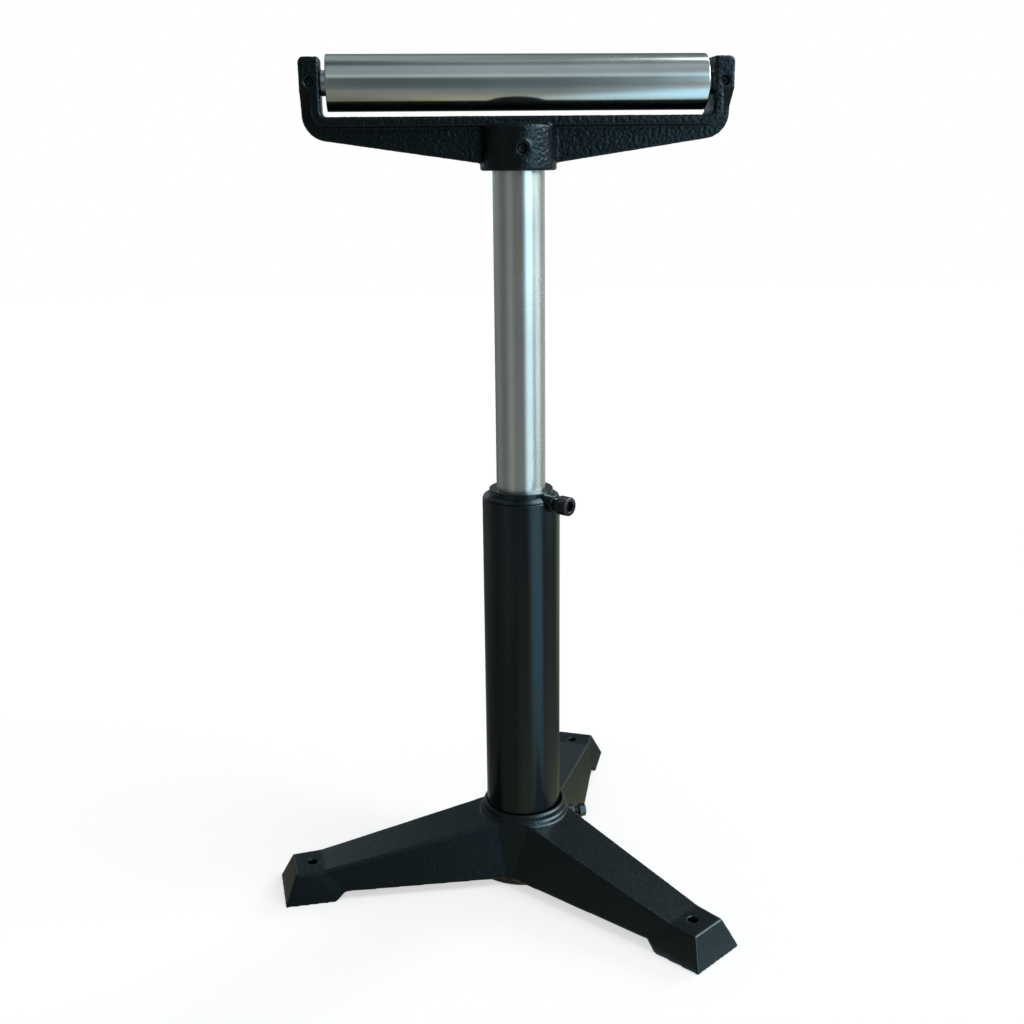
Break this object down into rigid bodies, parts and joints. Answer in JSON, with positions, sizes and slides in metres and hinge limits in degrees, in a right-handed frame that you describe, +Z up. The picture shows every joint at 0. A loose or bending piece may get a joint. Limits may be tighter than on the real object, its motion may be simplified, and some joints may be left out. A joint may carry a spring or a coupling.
{
  "type": "roller stand",
  "caption": "Pedestal roller stand: free-turning steel roller in a cast yoke on a sliding post, clamped in a column on a cast tripod base.",
  "frame": {"origin": "on the column's axis, at the floor that the feet stand on, under the hub's flat underside", "axes": "+Z up along the column and post, +X along the roller towards its right end, -Y towards the front that shows the set screws"},
  "size_m": [0.4512, 0.4709, 0.8103],
  "materials": {
    "black_casting": "satin black paint over a rough cast surface",
    "black_tube": "satin black paint on steel tube",
    "ground_steel": "ground and lightly brushed",
    "bearing_steel": "bright ground",
    "black_screw": "black oxide, slightly oily",
    "brass_pad": "plain turned",
    "nylon_ring": "natural moulded"
  },
  "bodies": {
    "base": {"base_casting": "black_casting", "column_tube": "black_tube", "column_bolt": "black_screw", "guide_bush": "black_tube"},
    "clamp_pad": {"clamp_pad": "brass_pad"},
    "clamp_screw": {"clamp_screw": "black_screw"},
    "lower_guide": {"lower_guide_ring": "nylon_ring"},
    "head": {"post": "ground_steel", "retaining_ring_lower": "bearing_steel", "retaining_ring_upper": "bearing_steel", "yoke_casting": "black_casting", "yoke_set_screw": "black_screw", "axle_shaft": "bearing_steel", "axle_set_screw_left": "black_screw", "axle_set_screw_right": "black_screw", "axle_spacer_left": "bearing_steel", "axle_spacer_right": "bearing_steel", "bearing_inner_race_left": "bearing_steel", "bearing_inner_race_right": "bearing_steel"},
    "roller": {"roller_tube": "ground_steel", "bearing_outer_race_left": "bearing_steel", "bearing_shield_outer_left": "bearing_steel", "bearing_shield_inner_left": "bearing_steel", "bearing_outer_race_right": "bearing_steel", "bearing_shield_outer_right": "bearing_steel", "bearing_shield_inner_right": "bearing_steel"},
    "ball_cage_left": {"ball_cage_left": "bearing_steel"},
    "ball_cage_right": {"ball_cage_right": "bearing_steel"}
  },
  "joints": [
    {"name": "height_slide", "type": "slide", "parent": "base", "child": "lower_guide", "axis": [0, 0, 1], "range_m": [-0.298, 0.033]},
    {"name": "head_swivel", "type": "hinge", "parent": "lower_guide", "child": "head", "pos_m": [0, 0, 0.4], "axis": [0, 0, 1], "continuous": true},
    {"name": "roller_spin", "type": "hinge", "parent": "head", "child": "roller", "pos_m": [0, 0, 0.786], "axis": [1, 0, 0], "continuous": true},
    {"name": "ball_cage_spin_left", "type": "hinge", "parent": "head", "child": "ball_cage_left", "pos_m": [-0.163, 0, 0.786], "axis": [1, 0, 0], "continuous": true},
    {"name": "ball_cage_spin_right", "type": "hinge", "parent": "head", "child": "ball_cage_right", "pos_m": [0.163, 0, 0.786], "axis": [1, 0, 0], "continuous": true},
    {"name": "clamp_advance", "type": "slide", "parent": "base", "child": "clamp_pad", "axis": [0.6947, -0.7193, 0], "range_m": [0, 0.00437]},
    {"name": "clamp_turn", "type": "hinge", "parent": "clamp_pad", "child": "clamp_screw", "pos_m": [0, 0, 0.401], "axis": [0.6947, -0.7193, 0], "range_deg": [0, 900]}
  ],
  "couplings": [
    {"joint": "ball_cage_spin_left", "follows": "roller_spin", "ratio": 0.639},
    {"joint": "ball_cage_spin_right", "follows": "roller_spin", "ratio": 0.639},
    {"joint": "clamp_turn", "follows": "clamp_advance", "rad_per_m": 3590.4}
  ]
}
